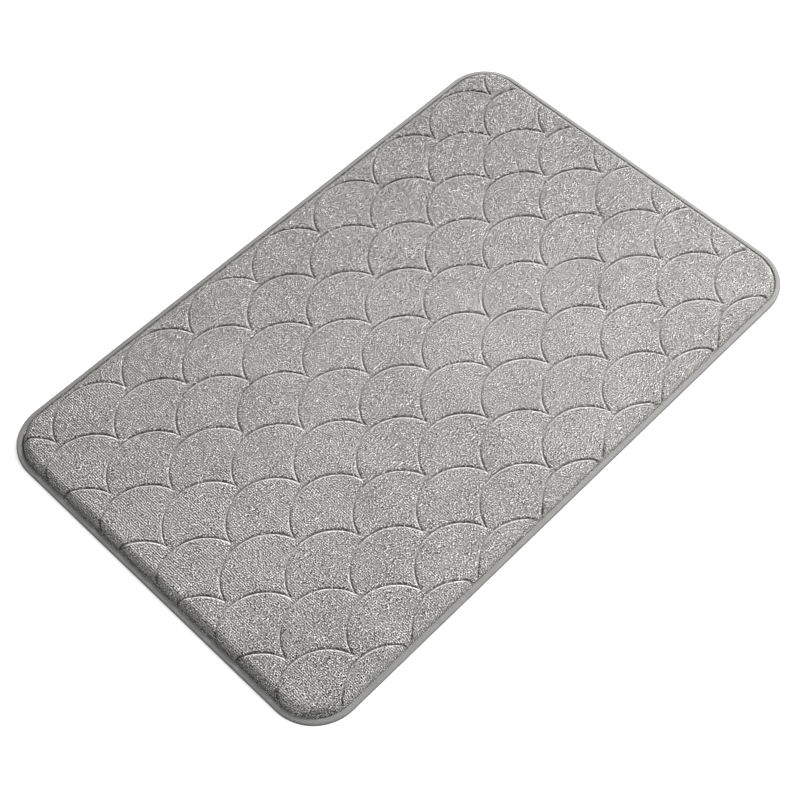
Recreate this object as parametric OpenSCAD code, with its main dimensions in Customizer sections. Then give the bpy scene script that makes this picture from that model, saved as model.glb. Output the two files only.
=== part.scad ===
// Bath mat: a fleece cover embossed with overlapping scales, drawn over a foam core and
// sewn with its backing cloth inside a folded binding tape. The underside carries grip dots.
// +X runs along the mat, +Z is up. The origin is on the floor under the middle of the mat.

/* [Mat] */
// Length over the binding
mat_length = 800; // [600:10:1000]
// Width over the binding
mat_width = 508; // [400:2:700]
// Radius of the mat's corners
corner_radius = 56; // [40:1:80]
// Height from the floor to the top of the pile
mat_height = 14; // [12:0.5:24]

/* [Cover] */
// Thickness of the fleece cover
cover_thickness = 3; // [2.5:0.1:3.6]
// Thickness of the cover where it is pressed flat under the binding
margin_thickness = 2; // [1.5:0.1:2.4]
// Distance from the mat's edge in to the side of the padded part
shoulder_inset = 7.4; // [7.2:0.1:10]

/* [Scales] */
// Distance from one scale to the next along the mat
scale_pitch = 101.2; // [80:0.1:130]
// Angle that the groove round each scale turns through
scale_angle = 146; // [110:1:150]
// Distance from one row of scales to the next
scale_row_pitch = 45.9; // [40:0.1:60]
// Distance from the far long edge in to the points of the first row of scales
first_row_inset = 54.4; // [48:0.2:70]
// Distance the scales are moved along the mat from its middle
scale_shift = -2; // [-10:0.1:10]
// Width of a groove
groove_width = 3.4; // [2:0.1:5]
// Depth of a groove
groove_depth = 1.8; // [1:0.1:2]

/* [Backing] */
// Thickness of the backing cloth
backing_thickness = 0.8; // [0.6:0.1:1.2]
// Diameter of a grip dot
dot_diameter = 6; // [3:0.5:8]
// Distance between neighbouring grip dots
dot_pitch = 32; // [28:1:60]

/* [Binding] */
// Thickness of the folded tape
tape_thickness = 1; // [0.8:0.1:1.2]
// Width of tape that shows on each face of the mat
tape_width = 6.6; // [6.4:0.1:7.2]
// Diameter of the sewing thread
thread_diameter = 0.6; // [0.3:0.1:0.8]
// Distance from the mat's edge in to the line of stitches
stitch_inset = 5.6; // [4.6:0.1:6]

/* [Hidden] */
$fn = 96;

pile_grey = [0.66, 0.655, 0.64];
tape_grey = [0.60, 0.60, 0.59];
thread_grey = [0.52, 0.52, 0.51];
foam_white = [0.93, 0.91, 0.86];
cloth_grey = [0.44, 0.44, 0.45];
dot_grey = [0.30, 0.30, 0.31];

// The layers from the floor up
backing_bottom = tape_thickness;
margin_bottom = backing_bottom + backing_thickness;
margin_top = margin_bottom + margin_thickness;
edge_top = margin_top + tape_thickness;
foam_top = mat_height - cover_thickness;

// The tape is folded round the edges of the cloth and the cover
cloth_inset = 1.2;
nose_radius = edge_top / 2;

// The cover's shoulder is a quarter round, and the foam's is concentric with it
shoulder_radius = mat_height - edge_top;
foam_radius = shoulder_radius - cover_thickness;
foam_inset = shoulder_inset + cover_thickness;

// The grooves stop where the flat top meets the shoulder
groove_inset = shoulder_inset + shoulder_radius + 1;
scale_radius = scale_pitch / 2 / sin(scale_angle / 2);
point_drop = scale_radius * cos(scale_angle / 2);
first_row_y = mat_width / 2 - first_row_inset;
crown_y = first_row_y - point_drop + scale_radius;
scale_rows = ceil((crown_y + mat_width / 2 - groove_inset) / scale_row_pitch);
scales_each_side = ceil(mat_length / 2 / scale_pitch);

// The dots stand clear of the tape's inner edge
dot_reach_x = mat_length / 2 - tape_width - dot_diameter - 4;
dot_reach_y = mat_width / 2 - tape_width - dot_diameter - 4;
dot_row_pitch = dot_pitch * sin(60);
dot_rows = floor(dot_reach_y / dot_row_pitch);
dot_columns = floor(dot_reach_x / dot_pitch);

// An outline of the mat with its edge moved in by inset.
module outline(inset) {
    radius = corner_radius - inset;
    square([mat_length - 2 * corner_radius, mat_width - 2 * inset], center = true);
    square([mat_length - 2 * inset, mat_width - 2 * corner_radius], center = true);
    for (x = [-1, 1], y = [-1, 1])
        translate([x * (mat_length / 2 - corner_radius), y * (mat_width / 2 - corner_radius)])
            circle(r = radius);
}

module layer(inset, bottom, top) {
    translate([0, 0, bottom]) linear_extrude(top - bottom) outline(inset);
}

// Carries a profile once round the mat. In the profile, x is the distance in from the mat's
// edge and y is the height.
module round_edge() {
    run_x = mat_length - 2 * corner_radius;
    run_y = mat_width - 2 * corner_radius;
    for (turn = [0, 180])
        rotate([0, 0, turn]) {
            straight_edge(mat_length / 2, run_y) children();
            rotate([0, 0, 90]) straight_edge(mat_width / 2, run_x) children();
            translate([run_x / 2, run_y / 2]) corner_edge() children();
            translate([-run_x / 2, run_y / 2]) rotate([0, 0, 90]) corner_edge() children();
        }
}

module straight_edge(reach, run) {
    translate([reach, 0, 0]) rotate([90, 0, 0])
        linear_extrude(run, center = true) mirror([1, 0]) children();
}

module corner_edge() {
    rotate_extrude(angle = 90) translate([corner_radius, 0]) mirror([1, 0]) children();
}

// A block with a quarter-round top edge.
module padded_block(inset, bottom, radius) {
    layer(inset, bottom, edge_top);
    layer(inset + radius, bottom, edge_top + radius);
    round_edge() intersection() {
        translate([inset + radius, edge_top]) circle(r = radius);
        translate([inset, edge_top]) square(radius);
    }
}

// The groove round one scale, with its point of symmetry at the scale's middle.
module scale_groove() {
    rotate([0, 0, 90 - scale_angle / 2])
        rotate_extrude(angle = scale_angle)
            translate([scale_radius - groove_width / 2, mat_height - groove_depth])
                square([groove_width, groove_depth + 1]);
}

module scale_grooves() {
    for (row = [0 : scale_rows - 1], column = [-scales_each_side : scales_each_side])
        translate([
            (column + (row % 2) / 2) * scale_pitch + scale_shift,
            first_row_y - row * scale_row_pitch - point_drop,
            0
        ]) scale_groove();
}

module pile_cover() {
    color(pile_grey) difference() {
        union() {
            layer(cloth_inset, margin_bottom, margin_top);
            padded_block(shoulder_inset, margin_bottom, shoulder_radius);
        }
        padded_block(foam_inset, margin_bottom - 1, foam_radius);
        intersection() {
            layer(groove_inset, foam_top, mat_height + 1);
            scale_grooves();
        }
    }
}

module foam_core() {
    color(foam_white) padded_block(foam_inset, margin_bottom, foam_radius);
}

module backing_cloth() {
    color(cloth_grey) layer(cloth_inset, backing_bottom, margin_bottom);
}

module grip_dots() {
    color(dot_grey)
        for (row = [-dot_rows : dot_rows], column = [-dot_columns : dot_columns]) {
            x = (column + abs(row % 2) / 2) * dot_pitch;
            y = row * dot_row_pitch;
            if (abs(x) < dot_reach_x && on_mat(x, y))
                translate([x, y, 0]) cylinder(d = dot_diameter, h = backing_bottom);
        }
}

// Whether a dot at x, y stands clear of the tape at a corner of the mat.
function on_mat(x, y) =
    let (across = max(0, abs(x) - (dot_reach_x - corner_radius)))
    let (along = max(0, abs(y) - (dot_reach_y - corner_radius)))
    norm([across, along]) < corner_radius;

module edge_binding() {
    color(tape_grey) round_edge() difference() {
        union() {
            translate([nose_radius, nose_radius]) circle(r = nose_radius);
            translate([nose_radius, 0]) square([tape_width - nose_radius, edge_top]);
        }
        translate([cloth_inset, backing_bottom])
            square([tape_width, margin_top - backing_bottom]);
        needle_profile();
        bobbin_profile();
        translate([stitch_inset - thread_diameter / 2, -1])
            square([thread_diameter, 1 + thread_diameter / 2]);
    }
}

// Both threads lie pulled down into the tape.
module needle_profile() {
    translate([stitch_inset, edge_top]) circle(d = thread_diameter);
}

module bobbin_profile() {
    translate([stitch_inset, thread_diameter / 2]) circle(d = thread_diameter);
}

module needle_thread() {
    color(thread_grey) round_edge() needle_profile();
}

module bobbin_thread() {
    color(thread_grey) round_edge() bobbin_profile();
}

pile_cover();
foam_core();
backing_cloth();
grip_dots();
edge_binding();
needle_thread();
bobbin_thread();
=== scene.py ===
"""A padded bath mat: an embossed fleece cover over foam, a folded binding and a dotted back.

Everything is in metres in the CAD frame: +X runs along the mat, +Y across it and +Z up, with
the origin on the floor under the middle of the mat.
"""

import math

import bpy
import numpy as np
from mathutils import Matrix, Vector, geometry, noise
from mathutils.bvhtree import BVHTree


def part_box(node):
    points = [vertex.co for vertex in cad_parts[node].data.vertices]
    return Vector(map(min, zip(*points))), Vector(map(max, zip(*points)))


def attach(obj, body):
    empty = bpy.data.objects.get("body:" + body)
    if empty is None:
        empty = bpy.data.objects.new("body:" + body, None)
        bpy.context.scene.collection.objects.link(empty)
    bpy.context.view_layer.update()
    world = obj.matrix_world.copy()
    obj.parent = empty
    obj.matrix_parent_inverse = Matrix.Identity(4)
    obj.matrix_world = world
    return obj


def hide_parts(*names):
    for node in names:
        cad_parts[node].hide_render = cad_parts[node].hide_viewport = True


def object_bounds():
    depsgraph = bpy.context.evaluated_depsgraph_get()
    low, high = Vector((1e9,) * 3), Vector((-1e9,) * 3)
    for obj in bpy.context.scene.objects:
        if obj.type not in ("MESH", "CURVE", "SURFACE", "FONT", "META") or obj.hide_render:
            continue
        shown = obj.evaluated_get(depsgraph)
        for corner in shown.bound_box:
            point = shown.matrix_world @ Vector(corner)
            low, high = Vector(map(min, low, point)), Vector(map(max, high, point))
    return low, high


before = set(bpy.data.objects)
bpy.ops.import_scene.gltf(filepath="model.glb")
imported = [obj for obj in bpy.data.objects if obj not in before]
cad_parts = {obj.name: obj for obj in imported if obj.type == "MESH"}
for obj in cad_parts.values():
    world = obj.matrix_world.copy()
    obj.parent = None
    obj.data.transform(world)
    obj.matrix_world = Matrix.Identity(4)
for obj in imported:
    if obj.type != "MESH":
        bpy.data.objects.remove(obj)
cad_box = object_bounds()

MM = 0.001

# The mat, from the frame
HALF_LENGTH = cad_box[1].x
HALF_WIDTH = cad_box[1].y
HEIGHT = cad_box[1].z
EDGE_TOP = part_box("edge_binding")[1].z
BACKING_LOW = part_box("backing_cloth")[0].z
BACKING_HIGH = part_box("backing_cloth")[1].z
MARGIN_TOP = EDGE_TOP - BACKING_LOW
CLOTH_INSET = HALF_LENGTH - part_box("backing_cloth")[1].x
FOAM_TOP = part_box("foam_core")[1].z
FOAM_INSET = HALF_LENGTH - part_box("foam_core")[1].x
CORNER = 56 * MM

# The scales pressed into the cover, placed as in the CAD
SCALE_PITCH = 101.2 * MM
SCALE_SHIFT = -2.0 * MM
ROW_PITCH = 45.9 * MM
HALF_ANGLE = math.radians(73)
SCALE_RADIUS = SCALE_PITCH / 2 / math.sin(HALF_ANGLE)
POINT_DROP = SCALE_RADIUS * math.cos(HALF_ANGLE)
FIRST_ROW_Y = HALF_WIDTH - 54.4 * MM
ROWS = 11
COLUMNS = 5

# The cover's relief: sharp grooves, a slight rise between them and uneven pile. The last angle
# below is the direction of a painted light, from +X: the side of a groove that faces it is
# painted lighter and the other side darker, as painted light and shade.
GROOVE_DEPTH = 2.0 * MM
GROOVE_REACH = 3.0 * MM
PUFF = 0.2 * MM
UNEVENNESS = 0.15 * MM
FOAM_PRINT = 0.4 * MM
PAINTED_LIGHT_AZIMUTH = math.radians(40)

# The fleece's pattern, with the ribs in millimetres and the pile's level from 0 to 1
RIB_PITCH = 2.5
PILE_LEVEL = 0.58

# The cover's edge, from under the tape over a pressed lip to the padded shoulder
TAPE_EDGE = 6.6 * MM
CREASE_INSET = 7.5 * MM
CREASE_TOP = 2.9 * MM
SHOULDER_INSET = 17.5 * MM

# The tape and its seam
OUTLINE = 4 * (HALF_LENGTH + HALF_WIDTH - 2 * CORNER) + 2 * math.pi * CORNER
STITCH_INSET = 5.6 * MM
STITCH_LENGTH = 3.6 * MM
SEAM_DIP = 0.25 * MM

# The grip dots, as in the CAD
DOT_RADIUS = 3 * MM
DOT_PITCH = 32 * MM
DOT_MARGIN = 17 * MM

# The foam's side and rounded top edge, which the cover's lining follows
FOAM_SIDE = [
    (FOAM_INSET, BACKING_HIGH),
    (FOAM_INSET, 4.4 * MM),
    (FOAM_INSET + 1.1 * MM, 6.5 * MM),
    (FOAM_INSET + 2.4 * MM, 8.3 * MM),
    (FOAM_INSET + 4.0 * MM, 9.7 * MM),
    (FOAM_INSET + 5.9 * MM, 10.6 * MM),
    (FOAM_INSET + 8.2 * MM, FOAM_TOP),
]


# ---------------------------------------------------------------- shapes

def inset_of(points):
    """How far each point is inside the mat's outline."""
    corner = np.abs(points) - [HALF_LENGTH - CORNER, HALF_WIDTH - CORNER]
    outside = np.hypot(*np.maximum(corner, 0).T)
    return CORNER - outside - np.minimum(corner.max(axis=1), 0)


def inward_at(points):
    """The direction from each point straight in from the nearest edge."""
    corner = np.abs(points) - [HALF_LENGTH - CORNER, HALF_WIDTH - CORNER]
    outward = np.maximum(corner, 0)
    flat = outward.max(axis=1) <= 0
    along_x = corner[:, 0] > corner[:, 1]
    outward[flat & along_x] = [1, 0]
    outward[flat & ~along_x] = [0, 1]
    outward /= np.hypot(*outward.T)[:, None]
    return -outward * np.where(points < 0, -1, 1)


def stations(step):
    """Points round the mat's outline, the direction in from each and the distance run."""
    base, inward = [], []
    for quarter in range(4):
        turn = math.radians(90 * quarter)
        facing = np.array([math.cos(turn), math.sin(turn)])
        across = np.array([-facing[1], facing[0]])
        reach, half_run = (HALF_LENGTH, HALF_WIDTH) if quarter % 2 == 0 else (HALF_WIDTH, HALF_LENGTH)
        half_run -= CORNER
        for place in np.linspace(-half_run, half_run, round(2 * half_run / step), endpoint=False):
            base.append(facing * reach + across * place)
            inward.append(-facing)
        middle = facing * (reach - CORNER) + across * half_run
        for angle in np.linspace(0, math.pi / 2, round(CORNER * math.pi / 2 / step), endpoint=False):
            out = facing * math.cos(angle) + across * math.sin(angle)
            base.append(middle + out * CORNER)
            inward.append(-out)
    base, inward = np.array(base), np.array(inward)
    gaps = np.hypot(*(np.roll(base, -1, axis=0) - base).T)
    return base, inward, np.concatenate([[0], np.cumsum(gaps)])


def new_piece(name, points, faces, material):
    """A smooth-shaded object made from points and faces."""
    mesh = bpy.data.meshes.new(name)
    mesh.from_pydata([tuple(p) for p in points], [], faces)
    mesh.materials.append(material)
    mesh.polygons.foreach_set("use_smooth", [True] * len(mesh.polygons))
    mesh.validate()
    mesh.update()
    piece = bpy.data.objects.new(name, mesh)
    bpy.context.scene.collection.objects.link(piece)
    return piece


def triangulate(points):
    """The points that triangles over flat points use, in the same order, and the triangles."""
    made = geometry.delaunay_2d_cdt([Vector(p) for p in points], [], [], 0, 1e-7)
    given = np.array([sources[0] for sources in made[3]])
    used, faces = np.unique(given[np.array(made[2])], return_inverse=True)
    faces = faces.reshape(-1, 3)
    flat = points[used]
    a, b, c = (flat[faces[:, i]] for i in range(3))
    turned = (b - a)[:, 0] * (c - a)[:, 1] - (b - a)[:, 1] * (c - a)[:, 0] < 0
    faces[turned] = faces[turned][:, ::-1]
    return flat, faces


def border_of(faces):
    """The one loop of edges that only one face uses, in the faces' own direction."""
    edges = {}
    for face in faces.tolist():
        for a, b in zip(face, face[1:] + face[:1]):
            edges[a, b] = True
    follow = {a: b for a, b in edges if (b, a) not in edges}
    loop = [next(iter(follow))]
    while follow[loop[-1]] != loop[0]:
        loop.append(follow[loop[-1]])
    return loop


def bridge(upper, lower):
    """Faces between two rings that run the same way, facing out."""
    size = len(upper)
    return [(upper[i], lower[i], lower[(i + 1) % size], upper[(i + 1) % size]) for i in range(size)]


# ---------------------------------------------------------------- the scales

def scale_centres():
    """The middles of the circles that the grooves follow."""
    centres = []
    for row in range(ROWS):
        y = FIRST_ROW_Y - row * ROW_PITCH - POINT_DROP
        for column in range(-COLUMNS, COLUMNS + 1):
            centres.append(((column + (row % 2) / 2) * SCALE_PITCH + SCALE_SHIFT, y))
    return np.array(centres)


CENTRES = scale_centres()


def arc_distances(points, reach):
    """For each groove, the points within reach of its circle and their distances from it."""
    for centre in CENTRES:
        near = np.flatnonzero(np.abs(points - centre).max(axis=1) < SCALE_RADIUS + reach)
        if len(near) == 0:
            continue
        from_centre = points[near] - centre
        radius = np.hypot(*from_centre.T)
        angle = np.arctan2(from_centre[:, 0], from_centre[:, 1])
        tip = np.stack([np.sign(angle) * SCALE_PITCH / 2, np.full(len(near), POINT_DROP)], axis=1)
        to_tip = np.hypot(*(from_centre - tip).T)
        yield near, np.where(np.abs(angle) <= HALF_ANGLE, np.abs(radius - SCALE_RADIUS), to_tip)


def groove_distance(points, reach=30 * MM):
    """The distance from each point to the nearest groove, up to reach."""
    nearest = np.full(len(points), reach)
    for near, distance in arc_distances(points, reach):
        nearest[near] = np.minimum(nearest[near], distance)
    return nearest


def pressed_by_grooves(points, reach):
    """From 0 to 1, how far the pile is pressed down; where two grooves near, it widens."""
    blend = 0.6 * MM
    nearness = np.full(len(points), 1e-9)
    for near, distance in arc_distances(points, 5 * reach):
        nearness[near] += np.exp(-distance / blend)
    return (1 - np.clip(-blend * np.log(nearness) / reach, 0, 1)) ** 2


def groove_points(offsets, step, start_inset):
    """Points in lines beside the grooves, where no other groove is nearer."""
    lines = []
    for centre in CENTRES:
        for offset in offsets:
            radius = SCALE_RADIUS + offset
            angle = np.linspace(-HALF_ANGLE, HALF_ANGLE, round(2 * HALF_ANGLE * SCALE_RADIUS / step) + 1)
            line = centre + radius * np.stack([np.sin(angle), np.cos(angle)], axis=1)
            lines.append((line, abs(offset)))
        tip = centre + [SCALE_PITCH / 2, POINT_DROP]
        for offset in offsets:
            if offset > 0:
                angle = np.linspace(0, 2 * math.pi, 14, endpoint=False)
                line = tip + offset * np.stack([np.sin(angle), np.cos(angle)], axis=1)
                lines.append((line, offset))
    points = np.concatenate([line for line, _ in lines])
    wanted = np.concatenate([np.full(len(line), offset) for line, offset in lines])
    keep = (inset_of(points) > start_inset) & (groove_distance(points) > wanted - 0.01 * MM)
    return unique_points(points[keep])


def unique_points(points):
    """The points without those that lie within about 0.1 mm of an earlier one."""
    _, first = np.unique(np.round(points / (0.1 * MM)), axis=0, return_index=True)
    return points[np.sort(first)]


def grid_points(step, start_inset):
    """A staggered grid over the mat, inside an inset."""
    rows = int(HALF_WIDTH / (step * math.sin(math.pi / 3))) + 1
    columns = int(HALF_LENGTH / step) + 1
    row, column = np.mgrid[-rows:rows + 1, -columns:columns + 1]
    x = (column + (row % 2) / 2) * step
    y = row * step * math.sin(math.pi / 3)
    points = np.stack([x.ravel(), y.ravel()], axis=1)
    return points[inset_of(points) > start_inset]


# ---------------------------------------------------------------- the cover

def shoulder_profile():
    """The cover's edge as insets and heights, with the distance along it.

    The distance ends at SHOULDER_INSET, where the flat top starts, so on the flat top it is
    simply the inset.
    """
    share = np.linspace(0, 1, 14)
    rise = HEIGHT - CREASE_TOP
    run = SHOULDER_INSET - CREASE_INSET
    inset = np.concatenate([
        [CLOTH_INSET, 4 * MM, TAPE_EDGE - 0.6 * MM, TAPE_EDGE + 0.1 * MM, CREASE_INSET - 0.35 * MM],
        CREASE_INSET + run * share,
    ])
    height = np.concatenate([
        [MARGIN_TOP, MARGIN_TOP, MARGIN_TOP, MARGIN_TOP - 0.3 * MM, CREASE_TOP + 0.05 * MM],
        CREASE_TOP + rise * np.sin(share * math.pi / 2) ** 0.95,
    ])
    length = np.concatenate([[0], np.cumsum(np.hypot(np.diff(inset), np.diff(height)))])
    return length + SHOULDER_INSET - length[-1], inset, height


PROFILE = shoulder_profile()
CREASE_ALONG = np.interp(CREASE_INSET, PROFILE[1], PROFILE[0])
GROOVE_END = CREASE_ALONG + 2 * MM


def on_cover(flat, sunk):
    """Carries points from the flat pattern onto the cover, sunk along its normal."""
    along, inset, height = PROFILE
    distance = inset_of(flat)
    step = 0.2 * MM
    there = np.interp(distance, along, inset)
    there = np.where(distance > SHOULDER_INSET, distance, there)
    up = np.interp(distance, along, height)
    run = np.interp(distance + step, along, inset) - np.interp(distance - step, along, inset)
    run = np.where(distance > SHOULDER_INSET - step, 2 * step, run)
    rise = np.interp(distance + step, along, height) - np.interp(distance - step, along, height)
    size = np.maximum(np.hypot(run, rise), 1e-9)
    inward = inward_at(flat)
    plan = flat + inward * (there - distance + sunk * rise / size)[:, None]
    return np.column_stack([plan, up - sunk * run / size])


def puff_by_simulation(flat):
    """How high the fleece stands between its grooves, by inflating a coarse sheet of cloth."""
    held_line = groove_points([0], 6 * MM, GROOVE_END)
    base, inward, _ = stations(8 * MM)
    rims = [base + inward * inset for inset in (CREASE_ALONG, CREASE_ALONG - 6 * MM)]
    inside = grid_points(7 * MM, CREASE_ALONG + 4 * MM)
    inside = inside[groove_distance(inside) > 4 * MM]
    points, faces = triangulate(np.concatenate([held_line, *rims, inside]))
    cloth = new_piece("puff_cloth", np.column_stack([points, np.zeros(len(points))]),
                      faces.tolist(), None)
    held = (groove_distance(points) < 0.1 * MM) | (inset_of(points) < CREASE_ALONG + 0.1 * MM)
    group = cloth.vertex_groups.new(name="held")
    group.add(np.flatnonzero(held).tolist(), 1.0, "REPLACE")
    settings = cloth.modifiers.new("Cloth", "CLOTH").settings
    settings.quality = 6
    settings.mass = 0.15
    settings.tension_stiffness = 12
    settings.compression_stiffness = 12
    settings.shear_stiffness = 6
    settings.bending_stiffness = 0.6
    settings.vertex_group_mass = "held"
    settings.use_pressure = True
    settings.uniform_pressure_force = 4
    settings.effector_weights.gravity = 0
    scene = bpy.context.scene
    for step in range(1, 21):
        scene.frame_set(step)
    shown = cloth.evaluated_get(bpy.context.evaluated_depsgraph_get())
    puffed = np.array([tuple(v.co) for v in shown.data.vertices])
    scene.frame_set(1)
    bpy.data.objects.remove(cloth)
    tree = BVHTree.FromPolygons(puffed.tolist(), faces.tolist())
    high = np.zeros(len(flat))
    down = Vector((0, 0, -1))
    for index in np.flatnonzero(inset_of(flat) > CREASE_ALONG):
        hit = tree.ray_cast(Vector((*flat[index], 1)), down)[0]
        high[index] = hit.z if hit else 0
    return np.abs(high)


def cover_points():
    """The flat pattern's points: rings round the edge, lines beside the grooves and a grid."""
    offsets = np.array([0, 0.35, 0.75, 1.2, 1.75, 2.35, 3.1]) * MM
    grooves = groove_points(np.concatenate([-offsets[:0:-1], offsets]), 2.4 * MM, GROOVE_END)
    base, inward, _ = stations(3 * MM)
    along = PROFILE[0]
    rims = list(along) + list(np.arange(SHOULDER_INSET + 1.5 * MM, 30 * MM, 2.5 * MM))
    edge = np.concatenate([base + inward * inset for inset in rims])
    clear = (groove_distance(edge) > 5.6 * MM) | (inset_of(edge) < GROOVE_END - 0.5 * MM)
    inside = grid_points(4.5 * MM, 31 * MM)
    inside = inside[groove_distance(inside) > 6.6 * MM]
    return np.concatenate([edge[clear], grooves, inside])


def pile_cover(material):
    """The fleece: a relief on top, and a lining that follows the foam."""
    flat, faces = triangulate(cover_points())
    puff = puff_by_simulation(flat)
    distance = inset_of(flat)
    fade = np.clip((distance - GROOVE_END) / (3 * MM), 0, 1)
    pressed = pressed_by_grooves(flat, GROOVE_REACH) * fade
    plateau = PUFF * (1 - np.tanh(puff / PUFF)) * np.clip((distance - CREASE_ALONG) / (3 * MM), 0, 1)
    uneven = np.array([noise.noise(Vector((*(p / (14 * MM)), 0))) for p in flat])
    uneven += 0.5 * np.array([noise.noise(Vector((*(p / (5 * MM)), 9))) for p in flat])
    top = on_cover(flat, plateau + GROOVE_DEPTH * pressed + UNEVENNESS * uneven * fade)

    points, more_faces = lined(flat, faces, top)
    cover = new_piece("fleece_cover", points, faces.tolist() + more_faces, material)
    # Painted shade: how far a point lies in the crease beside the tape, darkened in the fleece's colour.
    painted_crease_shade = np.clip(1 - np.abs(distance - CREASE_ALONG) / (1.6 * MM), 0, 1)
    # Stored too: how far each point faces the painted light, for painted light and shade on the grooves.
    for name, values in (("pressed", pressed), ("painted_crease_shade", painted_crease_shade), ("light_facing", light_facing_of(top, faces))):
        stored = cover.data.attributes.new(name, "FLOAT", "POINT")
        every = np.zeros(len(points), dtype=np.float32)
        every[:len(flat)] = values
        stored.data.foreach_set("value", every)
    unrolled = points.copy()
    unrolled[:len(flat), :2] = flat
    unrolled[:, 2] = HEIGHT
    stored = cover.data.attributes.new("unrolled", "FLOAT_VECTOR", "POINT")
    stored.data.foreach_set("vector", unrolled.astype(np.float32).ravel())
    return cover


def lined(flat, faces, top):
    """All the cover's points, and the faces from its rim round the foam's side and top."""
    rim = border_of(faces)
    rim_flat = flat[rim]
    inward = inward_at(rim_flat)
    rim_inset = inset_of(rim_flat)
    points = [top]
    below = []
    last = rim
    count = len(top)
    for inset, height in [(CLOTH_INSET, BACKING_HIGH)] + FOAM_SIDE:
        plan = rim_flat + inward * (inset - rim_inset)[:, None]
        points.append(np.column_stack([plan, np.full(len(rim), height)]))
        ring = list(range(count, count + len(rim)))
        for i in range(len(rim)):
            j = (i + 1) % len(rim)
            below.append((last[j], last[i], ring[i], ring[j]))
        last = ring
        count += len(rim)
    grid = grid_points(16 * MM, FOAM_SIDE[-1][0] + 4 * MM)
    inner_flat, inner_faces = triangulate(np.concatenate([points[-1][:, :2], grid]))
    inside = inner_flat[len(rim):]
    points.append(np.column_stack([inside, np.full(len(inside), FOAM_TOP)]))
    below += [tuple(int(i) + last[0] for i in face[::-1]) for face in inner_faces]
    return np.concatenate(points), below


def light_facing_of(points, faces):
    """How far each point of a surface faces the painted light's direction, from -1 to 1."""
    a, b, c = (points[faces[:, i]] for i in range(3))
    across = np.cross(b - a, c - a)
    normal = np.zeros_like(points)
    for i in range(3):
        np.add.at(normal, faces[:, i], across)
    normal /= np.maximum(np.linalg.norm(normal, axis=1), 1e-12)[:, None]
    return normal[:, 0] * math.cos(PAINTED_LIGHT_AZIMUTH) + normal[:, 1] * math.sin(PAINTED_LIGHT_AZIMUTH)


# ---------------------------------------------------------------- the other layers

def foam_core(material):
    """A slab with a rounded top edge and the grooves' faint print in its top."""
    base, inward, _ = stations(6 * MM)
    top_inset = FOAM_SIDE[-1][0]
    top_grid = grid_points(7 * MM, top_inset + 4 * MM)
    flat, faces = triangulate(np.concatenate([base + inward * top_inset, top_grid]))
    print_depth = FOAM_PRINT * pressed_by_grooves(flat, 12 * MM)
    print_depth[:len(base)] = 0
    points = [np.column_stack([flat, FOAM_TOP - print_depth])]
    count = len(flat)
    quads = []
    last = list(range(len(base)))
    for inset, height in FOAM_SIDE[-2::-1]:
        points.append(np.column_stack([base + inward * inset, np.full(len(base), height)]))
        ring = list(range(count, count + len(base)))
        quads += bridge(last, ring)
        last = ring
        count += len(base)
    quads.append(tuple(last[::-1]))
    return new_piece("foam_slab", np.concatenate(points), faces.tolist() + quads, material)


def backing_cloth(material):
    """A cloth that bulges a little between the seam and the dots that it carries."""
    base, inward, _ = stations(6 * MM)
    inner = grid_points(8 * MM, CLOTH_INSET + 9 * MM)
    rims = [base + inward * inset for inset in (CLOTH_INSET, TAPE_EDGE)]
    flat, faces = triangulate(np.concatenate([*rims, inner]))
    ripple = np.array([noise.noise(Vector((*(p / (30 * MM)), 4))) for p in flat])
    ripple *= 0.12 * MM * (inset_of(flat) > TAPE_EDGE + 1 * MM)
    upper = np.column_stack([flat, np.full(len(flat), BACKING_HIGH)])
    lower = np.column_stack([flat, BACKING_LOW + 0.1 * MM + ripple])
    rim = border_of(faces)
    under = [i + len(flat) for i in rim]
    both = faces.tolist() + (faces[:, ::-1] + len(flat)).tolist() + bridge(rim, under)
    return new_piece("backing_sheet", np.concatenate([upper, lower]), both, material)


def grip_dots(material):
    """A low dome of vinyl for each dot of the CAD, pressed flat where it stands."""
    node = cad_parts["grip_dots"]
    place = np.array([tuple(v.co) for v in node.data.vertices])
    row_pitch = DOT_PITCH * math.sin(math.pi / 3)
    rows = int((HALF_WIDTH - DOT_MARGIN) / row_pitch)
    columns = int((HALF_LENGTH - DOT_MARGIN) / DOT_PITCH)
    sides = 16
    turn = np.linspace(0, 2 * math.pi, sides, endpoint=False)
    circle = np.stack([np.cos(turn), np.sin(turn)], axis=1)
    section = [(1.0, BACKING_LOW + 0.3 * MM), (1.0, 0.62 * MM), (0.9, 0.28 * MM),
               (0.7, 0.08 * MM), (0.45, 0.0)]
    points, faces = [], []
    for row in range(-rows, rows + 1):
        for column in range(-columns, columns + 1):
            middle = np.array([(column + (row % 2) / 2) * DOT_PITCH, row * row_pitch])
            if np.hypot(*(place[:, :2] - middle).T).min() > DOT_RADIUS * 1.05:
                continue
            start = len(points)
            for share, height in section:
                points += [(*(middle + way * DOT_RADIUS * share), height) for way in circle]
            for ring in range(len(section) - 1):
                upper = [start + ring * sides + i for i in range(sides)]
                faces += bridge(upper, [i + sides for i in upper])
            faces.append(tuple(start + i for i in range(sides)))
            faces.append(tuple(start + (len(section) - 1) * sides + i for i in range(sides))[::-1])
    return new_piece("vinyl_dots", points, faces, material)


# ---------------------------------------------------------------- the edge

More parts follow.
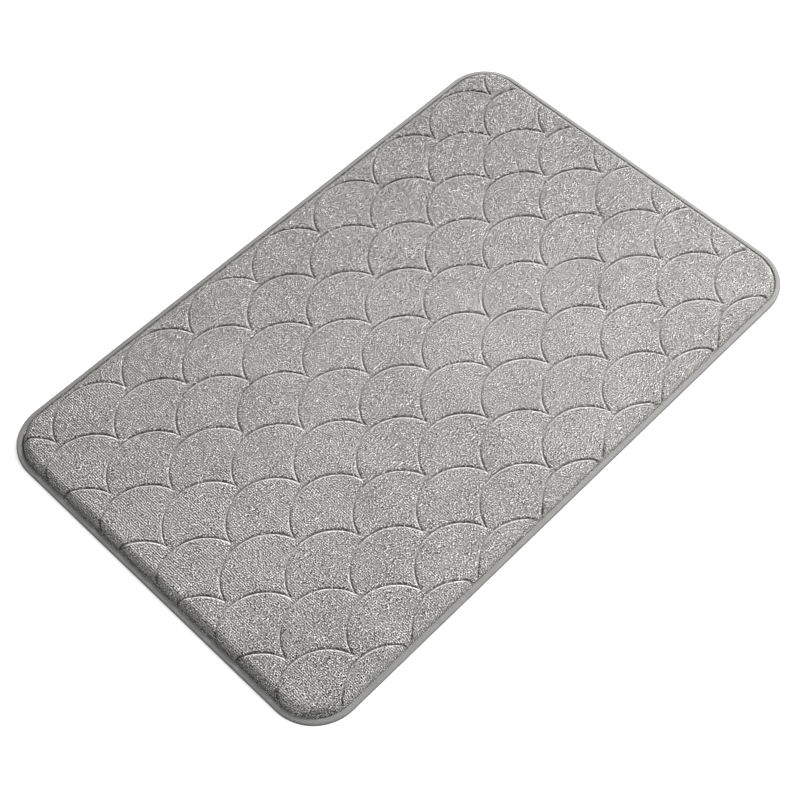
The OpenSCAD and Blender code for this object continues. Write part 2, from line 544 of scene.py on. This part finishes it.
def edge_binding(material):
    """The folded tape: a round nose, a dip along the stitches and small puckers."""
    base, inward, along = stations(1.8 * MM)
    nose = EDGE_TOP / 2
    outer = [(nose - nose * math.sin(a), nose - nose * math.cos(a)) for a in np.linspace(0, math.pi, 13)]
    top = [
        (3.6 * MM, EDGE_TOP + 0.15 * MM),
        (4.8 * MM, EDGE_TOP + 0.2 * MM),
        (STITCH_INSET, EDGE_TOP + 0.2 * MM - SEAM_DIP),
        (6.3 * MM, EDGE_TOP + 0.15 * MM),
        (TAPE_EDGE - 0.2 * MM, EDGE_TOP - 0.1 * MM),
        (TAPE_EDGE, MARGIN_TOP + 0.35 * MM),
        (TAPE_EDGE - 0.2 * MM, MARGIN_TOP),
    ]
    under = [
        (TAPE_EDGE - 0.2 * MM, BACKING_LOW),
        (TAPE_EDGE, BACKING_LOW - 0.3 * MM),
        (TAPE_EDGE - 0.2 * MM, 0.2 * MM),
        (6.3 * MM, 0.0),
        (STITCH_INSET, SEAM_DIP),
        (4.9 * MM, 0.0),
    ]
    cavity = [(CLOTH_INSET, MARGIN_TOP), (CLOTH_INSET, BACKING_LOW)]
    section = outer + top + cavity + under
    points, faces = [], []
    size = len(section)
    for station in range(len(base)):
        run = along[station]
        pucker = 0.10 * MM * noise.noise(Vector((run / (9 * MM), 0, 0)))
        tuck = 0.5 + 0.5 * math.cos(2 * math.pi * run / STITCH_LENGTH)
        for inset, height in section:
            if height > MARGIN_TOP + 0.5 * MM:
                near_seam = math.exp(-((inset - STITCH_INSET) / (1.1 * MM)) ** 2)
                height += pucker * (1 - near_seam) - 0.12 * MM * tuck * near_seam
            plan = base[station] + inward[station] * inset
            points.append((plan[0], plan[1], height))
    for station in range(len(base)):
        after = (station + 1) % len(base)
        for index in range(size):
            beside = (index + 1) % size
            faces.append((station * size + index, after * size + index,
                          after * size + beside, station * size + beside))
    piece = new_piece("folded_tape", points, faces, material)
    lay_out(piece, along, section, len(base))
    return piece


def lay_out(piece, along, section, count):
    """A UV map in metres: the run along the tape, and the way across it."""
    across = np.concatenate([[0], np.cumsum([
        math.dist(a, b) for a, b in zip(section, section[1:] + section[:1])])])
    size = len(section)
    run_map = piece.data.uv_layers.new(name="run")
    for polygon in piece.data.polygons:
        station, index = divmod(polygon.index, size)
        corners = [(station, index), (station + 1, index), (station + 1, index + 1), (station, index + 1)]
        for loop, (s, i) in zip(polygon.loop_indices, corners):
            run_map.data[loop].uv = (along[s], across[i])


def thread(name, material, height, bow):
    """A row of stitches round the mat, each bowed out of the tape between its two holes."""
    count = round(OUTLINE / STITCH_LENGTH)
    base, inward, along = stations(0.9 * MM)
    line = base + inward * STITCH_INSET
    line = np.vstack([line, line[:1]])
    radius = 0.3 * MM
    sides = 7
    rings = 6
    points, faces = [], []
    for stitch in range(count):
        start = len(points)
        for ring in range(rings + 1):
            share = ring / rings
            run = (stitch + 0.06 + 0.88 * share) * along[-1] / count
            middle = np.array([np.interp(run, along, line[:, 0]), np.interp(run, along, line[:, 1])])
            ahead = np.array([np.interp(run + 0.5 * MM, along, line[:, 0]),
                              np.interp(run + 0.5 * MM, along, line[:, 1])]) - middle
            side = np.array([-ahead[1], ahead[0]]) / max(np.hypot(*ahead), 1e-9)
            rise = height + bow * (math.sin(math.pi * share) ** 0.6 - 0.5)
            thick = radius * (0.7 + 0.3 * math.sin(math.pi * share))
            for corner in range(sides):
                turn = 2 * math.pi * corner / sides
                plan = middle + side * thick * math.cos(turn)
                points.append((plan[0], plan[1], rise + thick * math.sin(turn)))
        for ring in range(rings):
            upper = [start + ring * sides + i for i in range(sides)]
            faces += bridge(upper, [i + sides for i in upper])
        faces.append(tuple(start + i for i in range(sides)))
        faces.append(tuple(start + rings * sides + i for i in range(sides))[::-1])
    return new_piece(name, points, faces, material)


# ---------------------------------------------------------------- materials

class Nodes:
    """A short way to add shader nodes to a new material."""

    def __init__(self, name):
        self.material = bpy.data.materials.new(name)
        self.material.use_nodes = True
        self.tree = self.material.node_tree
        self.tree.nodes.clear()
        self.shader = self.add("ShaderNodeBsdfPrincipled")
        output = self.add("ShaderNodeOutputMaterial")
        self.tree.links.new(self.shader.outputs[0], output.inputs[0])

    def add(self, kind, inputs=None, **settings):
        node = self.tree.nodes.new(kind)
        for key, value in settings.items():
            setattr(node, key, value)
        for key, value in (inputs or {}).items():
            self.put(node, key, value)
        return node

    def put(self, node, key, value):
        socket = node.inputs[key]
        if isinstance(value, bpy.types.NodeSocket):
            self.tree.links.new(value, socket)
        else:
            socket.default_value = value

    def math(self, operation, a, b=0.0, c=0.0, clamp=False):
        node = self.add("ShaderNodeMath", {0: a, 1: b, 2: c}, operation=operation, use_clamp=clamp)
        return node.outputs[0]

    def mix(self, share, a, b):
        node = self.add("ShaderNodeMix", {0: share, 6: a, 7: b}, data_type="RGBA")
        return node.outputs[2]

    def spread(self, value, low, high, to_low=0.0, to_high=1.0, smooth=False):
        node = self.add("ShaderNodeMapRange", {0: value, 1: low, 2: high, 3: to_low, 4: to_high},
                        interpolation_type="SMOOTHSTEP" if smooth else "LINEAR")
        return node.outputs[0]

    def noise(self, vector, scale, detail=2.0):
        node = self.add("ShaderNodeTexNoise", {"Vector": vector, "Scale": scale, "Detail": detail})
        return node.outputs[0]

    def cells(self, vector, scale):
        """Scattered cells over the mat's plane, for tufts and grain."""
        return self.add("ShaderNodeTexVoronoi", {"Vector": vector, "Scale": scale},
                        voronoi_dimensions="2D")

    def first(self, colour):
        return self.add("ShaderNodeSeparateColor", {0: colour}).outputs[0]

    def place(self, scale=(1000, 1000, 1000)):
        """The point in the mat's frame, in millimetres unless scaled further."""
        coordinates = self.add("ShaderNodeTexCoord").outputs["Object"]
        return self.add("ShaderNodeMapping", {"Vector": coordinates, "Scale": scale}).outputs[0]

    def unrolled(self, scale=(1000, 1000, 1000)):
        """The point's place on the cover before it was bent over the shoulder."""
        coordinates = self.add("ShaderNodeAttribute", attribute_name="unrolled").outputs["Vector"]
        return self.add("ShaderNodeMapping", {"Vector": coordinates, "Scale": scale}).outputs[0]

    def bump(self, height, distance, strength=1.0):
        node = self.add("ShaderNodeBump", {"Height": height, "Distance": distance, "Strength": strength})
        self.put(self.shader, "Normal", node.outputs[0])


def fleece():
    """Coral fleece: fine ribs of tufts, a few standing out light or lying in shade."""
    n = Nodes("fleece")
    place = n.unrolled()
    parts = n.add("ShaderNodeSeparateXYZ", {0: place})
    x, y = parts.outputs[0], parts.outputs[1]
    pressed = n.add("ShaderNodeAttribute", attribute_name="pressed").outputs["Fac"]
    painted_crease_shade = n.add("ShaderNodeAttribute", attribute_name="painted_crease_shade").outputs["Fac"]
    pile = n.math("ADD", n.math("ADD", ribs(n, place, x, y), tufts(n, place)), grain(n))
    pile = n.math("MULTIPLY", pile, n.spread(pressed, 0.05, 0.5, 1.0, 0.3))
    # The level takes in painted light and shade on the sides of the grooves.
    level = n.math("ADD", n.math("ADD", pile, clouds_and_painted_falloff(n, x, y)),
                   n.math("ADD", painted_groove_light(n, place, pressed), PILE_LEVEL))
    level = n.math("POWER", n.math("MINIMUM", n.math("MAXIMUM", level, 0.08), 0.95), 2.2)
    colour = n.mix(level, (0, 0, 0, 1), (1.0, 0.987, 0.952, 1))
    # Painted shade darkens the crease between the tape and the shoulder.
    colour = n.mix(n.math("MULTIPLY", painted_crease_shade, 0.3), colour, (0.05, 0.05, 0.047, 1))
    n.put(n.shader, "Base Color", colour)
    n.put(n.shader, "Roughness", 0.95)
    n.put(n.shader, "Specular IOR Level", 0.2)
    n.put(n.shader, "Sheen Weight", 0.15)
    n.put(n.shader, "Sheen Roughness", 0.5)
    n.bump(pile, 0.5 * MM)
    return n.material


def ribs(n, place, x, y):
    """Wandering ribs across the mat, strongest at one end and faint in patches elsewhere."""
    drift = n.math("ADD", n.math("MULTIPLY", n.noise(place, 0.03, 1.0), 3.0),
                   n.math("MULTIPLY", n.noise(place, 0.16, 1.0), 2.2))
    wave = n.math("SINE", n.math("MULTIPLY_ADD", x, 2 * math.pi / RIB_PITCH, drift))
    towards_end = n.spread(x, -150, -390, 0, 1, smooth=True)
    towards_side = n.spread(y, -180, 20, 0.04, 0.20, smooth=True)
    patch = n.spread(n.noise(place, 0.02, 2.0), 0.42, 0.62, 0.06, 0.18, smooth=True)
    height = n.math("MULTIPLY_ADD", towards_end, towards_side, patch)
    height = n.math("MULTIPLY", height, n.spread(n.noise(place, 0.35, 1.0), 0.35, 0.65, 0.1, 1.6))
    return n.math("MULTIPLY", wave, height)


def tufts(n, place):
    """Single tufts. Most are near the pile's own level, a few are far lighter or darker, and
    each has a rim of the other kind."""
    cell = n.cells(n.unrolled((1000 / 2.1, 1000 / 2.3, 0)), 1.0)
    odd = n.spread(n.first(cell.outputs["Color"]), 0, 1, -1, 0.82)
    odd = n.math("MULTIPLY", n.math("MULTIPLY", odd, odd), odd)
    tuft = n.math("MULTIPLY", odd, n.spread(cell.outputs["Distance"], 0.05, 0.60, 2.5, -1.2))
    patch = n.spread(n.noise(place, 0.05, 2.0), 0.35, 0.65, 0.9, 2.4, smooth=True)
    return n.math("MULTIPLY", tuft, patch)


def grain(n):
    """The fibres' own fine grain."""
    cell = n.cells(n.unrolled((1000 / 1.9, 1000 / 2.0, 0)), 1.0)
    return n.spread(cell.outputs["Distance"], 0.06, 0.70, 0.13, -0.13)


def clouds_and_painted_falloff(n, x, y):
    """How light the pile is: faint clouds of tone, with a painted light falloff that is darker towards +Y
    and towards the corners.
    """
    clouds = n.spread(n.noise(n.unrolled((16, 12, 12)), 1.0, 2.0), 0.3, 0.7, -0.025, 0.025)
    # Painted light falloff: lighter towards -Y and darker towards +Y, added to the random clouds.
    clouds_and_painted_gradient = n.math("ADD", clouds, n.spread(y, -250, 250, 0.015, -0.03))
    # Painted light falloff: darker towards the corners.
    diagonal = n.math("MULTIPLY_ADD", y, 1 / 334, n.math("MULTIPLY_ADD", x, 1 / 537, 0.26))
    athwart = n.math("MULTIPLY_ADD", y, -1 / 334, n.math("MULTIPLY_ADD", x, 1 / 537, 0.455))
    painted_corner_falloff = n.math("ADD", n.math("MULTIPLY", n.math("MULTIPLY", diagonal, diagonal), 0.033),
                     n.math("MULTIPLY", n.math("MULTIPLY", athwart, athwart), 0.011))
    return n.math("SUBTRACT", clouds_and_painted_gradient, painted_corner_falloff)


def painted_groove_light(n, place, pressed):
    """Painted light and shade on the grooves: the side facing the painted light is lighter, the other side
    darker, broken up in patches.
    """
    facing = n.add("ShaderNodeAttribute", attribute_name="light_facing").outputs["Fac"]
    painted_shaded_side = n.math("MULTIPLY", n.spread(facing, -1, 0, -1, 0), n.spread(pressed, 0, 0.1, 0.0, 0.27))
    painted_lit_side = n.math("MULTIPLY", n.spread(facing, 0, 1, 0, 1), n.spread(pressed, 0, 0.1, 0.0, 0.50))
    broken = n.spread(n.noise(place, 0.4, 1.0), 0.35, 0.65, 0.4, 1.6)
    return n.math("MULTIPLY", n.math("ADD", painted_shaded_side, painted_lit_side), broken)


def tape():
    """Smooth woven tape with a fine rib across it and a slight sheen, with painted shade low down near the
    floor.
    """
    n = Nodes("tape")
    run = n.add("ShaderNodeUVMap", uv_map="run").outputs[0]
    parts = n.add("ShaderNodeSeparateXYZ", {0: run})
    along = n.math("SINE", n.math("MULTIPLY", parts.outputs[0], 2 * math.pi / (0.8 * MM)))
    across = n.math("SINE", n.math("MULTIPLY", parts.outputs[1], 2 * math.pi / (0.6 * MM)))
    weave = n.math("MULTIPLY", along, across)
    place = n.place()
    cloud = n.spread(n.noise(place, 0.12, 3.0), 0.3, 0.7, -0.10, 0.10)
    fleck = n.spread(n.noise(place, 1.1, 2.0), 0.3, 0.7, -0.16, 0.16)
    level = n.math("ADD", n.math("MULTIPLY_ADD", weave, 0.10, 0.5), n.math("ADD", cloud, fleck), clamp=True)
    colour = n.mix(level, (0.165, 0.165, 0.16, 1), (0.305, 0.305, 0.295, 1))
    # Painted shade: the tape is darkened low down near the floor, where its nose lies in shade.
    z = n.add("ShaderNodeSeparateXYZ", {0: place}).outputs[2]
    colour = n.mix(n.spread(z, 3.0, 4.85, 0.9, 0.0, smooth=True), colour, (0.04, 0.04, 0.04, 1))
    n.put(n.shader, "Base Color", colour)
    n.put(n.shader, "Roughness", 0.62)
    n.put(n.shader, "Sheen Weight", 0.2)
    n.put(n.shader, "Sheen Roughness", 0.4)
    n.bump(weave, 0.05 * MM, 0.6)
    return n.material


def sewing_thread():
    """Twisted polyester thread."""
    n = Nodes("sewing_thread")
    place = n.place()
    parts = n.add("ShaderNodeSeparateXYZ", {0: place})
    slant = n.math("ADD", parts.outputs[0], n.math("ADD", parts.outputs[1], parts.outputs[2]))
    twist = n.math("SINE", n.math("MULTIPLY", slant, 2 * math.pi / 0.5))
    level = n.math("MULTIPLY_ADD", twist, 0.3, n.noise(place, 1.5, 2.0), clamp=True)
    n.put(n.shader, "Base Color", n.mix(level, (0.20, 0.20, 0.195, 1), (0.42, 0.42, 0.41, 1)))
    n.put(n.shader, "Roughness", 0.5)
    n.bump(twist, 0.04 * MM, 0.6)
    return n.material


def foam():
    """Open-cell foam with fine pores."""
    n = Nodes("foam")
    place = n.place()
    pores = n.add("ShaderNodeTexVoronoi", {"Vector": place, "Scale": 1.4}).outputs["Distance"]
    level = n.math("MULTIPLY_ADD", n.noise(place, 0.1, 3.0), 0.4, n.math("MULTIPLY", pores, 0.8),
                   clamp=True)
    n.put(n.shader, "Base Color", n.mix(level, (0.72, 0.66, 0.52, 1), (0.88, 0.85, 0.76, 1)))
    n.put(n.shader, "Roughness", 0.9)
    n.bump(pores, 0.3 * MM)
    return n.material


def woven_backing():
    """Plain-weave polyester backing cloth."""
    n = Nodes("woven_backing")
    place = n.place()
    parts = n.add("ShaderNodeSeparateXYZ", {0: place})
    warp = n.math("SINE", n.math("MULTIPLY", parts.outputs[0], 2 * math.pi / 1.6))
    weft = n.math("SINE", n.math("MULTIPLY", parts.outputs[1], 2 * math.pi / 1.6))
    weave = n.math("MULTIPLY", warp, weft)
    cloud = n.spread(n.noise(place, 0.05, 3.0), 0.3, 0.7, -0.1, 0.1)
    fleck = n.spread(n.noise(place, 1.2, 2.0), 0.3, 0.7, -0.2, 0.2)
    level = n.math("ADD", n.math("MULTIPLY_ADD", weave, 0.2, 0.5), n.math("ADD", cloud, fleck), clamp=True)
    n.put(n.shader, "Base Color", n.mix(level, (0.11, 0.11, 0.115, 1), (0.24, 0.24, 0.245, 1)))
    n.put(n.shader, "Roughness", 0.85)
    n.bump(weave, 0.15 * MM)
    return n.material


def vinyl():
    """Soft grip vinyl, a little uneven where it was printed."""
    n = Nodes("vinyl")
    place = n.place()
    level = n.noise(place, 0.7, 3.0)
    n.put(n.shader, "Base Color", n.mix(level, (0.055, 0.055, 0.06, 1), (0.11, 0.11, 0.115, 1)))
    n.put(n.shader, "Roughness", n.spread(level, 0.3, 0.7, 0.38, 0.55))
    n.bump(level, 0.08 * MM)
    return n.material


def pale_floor():
    """A matt floor that glows a little, so that it stays pale away from the lamps."""
    n = Nodes("pale_floor")
    level = n.noise(n.place((4, 4, 4)), 1.0, 3.0)
    n.put(n.shader, "Base Color", n.mix(level, (0.87, 0.87, 0.87, 1), (0.89, 0.89, 0.89, 1)))
    n.put(n.shader, "Roughness", 0.9)
    n.put(n.shader, "Specular IOR Level", 0.1)
    n.put(n.shader, "Emission Color", (1, 1, 1, 1))
    n.put(n.shader, "Emission Strength", 0.65)
    return n.material


# ---------------------------------------------------------------- camera, light and floor

CAMERA_TARGET = Vector((-46.9 * MM, -30.1 * MM, 0))
CAMERA_AZIMUTH = math.radians(-45.1)
CAMERA_ELEVATION = math.radians(58.37)
CAMERA_DISTANCE = 1.8355
CAMERA_ROLL = math.radians(-0.79)
CAMERA_LENS = 73.06
BACKDROP_RADIUS = 18


def add_camera():
    """The camera looks at its target from this azimuth, elevation and distance."""
    camera = bpy.data.objects.new("camera", bpy.data.cameras.new("camera"))
    bpy.context.scene.collection.objects.link(camera)
    back = Vector((
        math.sin(CAMERA_AZIMUTH) * math.cos(CAMERA_ELEVATION),
        -math.cos(CAMERA_AZIMUTH) * math.cos(CAMERA_ELEVATION),
        math.sin(CAMERA_ELEVATION),
    ))
    facing = back.to_track_quat("Z", "Y").to_matrix().to_4x4() @ Matrix.Rotation(CAMERA_ROLL, 4, "Z")
    camera.matrix_world = Matrix.Translation(CAMERA_TARGET + back * CAMERA_DISTANCE) @ facing
    camera.data.lens = CAMERA_LENS
    camera.data.sensor_width = 36
    bpy.context.scene.camera = camera


def add_lamp(name, azimuth, elevation, distance, size, strength):
    """A round soft box that faces the mat, its strength the light that reaches the mat."""
    lamp = bpy.data.objects.new(name, bpy.data.lights.new(name, "AREA"))
    bpy.context.scene.collection.objects.link(lamp)
    azimuth, elevation = math.radians(azimuth), math.radians(elevation)
    towards = Vector((
        math.cos(azimuth) * math.cos(elevation),
        math.sin(azimuth) * math.cos(elevation),
        math.sin(elevation),
    ))
    facing = towards.to_track_quat("Z", "Y").to_matrix().to_4x4()
    lamp.matrix_world = Matrix.Translation(towards * distance) @ facing
    lamp.data.shape = "DISK"
    lamp.data.size = size
    lamp.data.energy = strength * math.pi * distance ** 2
    lamp.visible_camera = False


def add_sky(strength):
    """An even white light from all sides."""
    world = bpy.data.worlds.new("studio")
    world.use_nodes = True
    world.node_tree.nodes["Background"].inputs["Color"].default_value = (1, 1, 1, 1)
    world.node_tree.nodes["Background"].inputs["Strength"].default_value = strength
    bpy.context.scene.world = world


def backdrop_white():
    """An even white that the lamps don't change."""
    n = Nodes("backdrop_white")
    level = n.noise(n.place((1, 1, 1)), 1.0)
    n.put(n.shader, "Base Color", (0, 0, 0, 1))
    n.put(n.shader, "Specular IOR Level", 0.0)
    n.put(n.shader, "Emission Color", n.mix(level, (0.99, 0.99, 0.99, 1), (1, 1, 1, 1)))
    n.put(n.shader, "Emission Strength", 0.92)
    return n.material


def add_backdrop():
    """A white wall round the floor, which only the camera sees."""
    height = 14
    sides = 48
    turn = [2 * math.pi * i / sides for i in range(sides)]
    circle = [(BACKDROP_RADIUS * math.cos(a), BACKDROP_RADIUS * math.sin(a)) for a in turn]
    points = [(x, y, z) for z in (height, 0) for x, y in circle]
    top = list(range(sides))
    wall = new_piece("backdrop", points, bridge(top, [i + sides for i in top]), backdrop_white())
    wall.visible_diffuse = False
    wall.visible_glossy = False
    wall.visible_shadow = False


def add_floor():
    """A square floor that reaches the backdrop."""
    steps = 12
    side = np.linspace(-BACKDROP_RADIUS, BACKDROP_RADIUS, steps + 1)
    points = [(x, y, 0) for y in side for x in side]
    faces = [(r * (steps + 1) + c, r * (steps + 1) + c + 1, (r + 1) * (steps + 1) + c + 1,
              (r + 1) * (steps + 1) + c) for r in range(steps) for c in range(steps)]
    new_piece("floor", points, faces, pale_floor())


# ---------------------------------------------------------------- assembly


def join_frame(piece, node):
    """Sets a piece on the mat's body, in the place of its CAD node."""
    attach(piece, "root")
    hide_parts(node)
    return piece


bpy.context.scene.view_settings.view_transform = "Standard"
add_camera()
add_lamp("key_lamp", azimuth=5, elevation=39, distance=3.2, size=0.6, strength=4.3)
add_lamp("fill_lamp", azimuth=-80, elevation=38, distance=2.4, size=0.9, strength=1.5)
add_sky(0.27)
add_floor()
add_backdrop()

cover = join_frame(pile_cover(fleece()), "pile_cover")
core = join_frame(foam_core(foam()), "foam_core")
backing = join_frame(backing_cloth(woven_backing()), "backing_cloth")
join_frame(grip_dots(vinyl()), "grip_dots")
binding = join_frame(edge_binding(tape()), "edge_binding")
join_frame(thread("upper_stitches", sewing_thread(), EDGE_TOP - 0.25 * MM, 0.5 * MM),
           "needle_thread")
join_frame(thread("lower_stitches", sewing_thread(), 0.35 * MM, -0.1 * MM),
           "bobbin_thread")
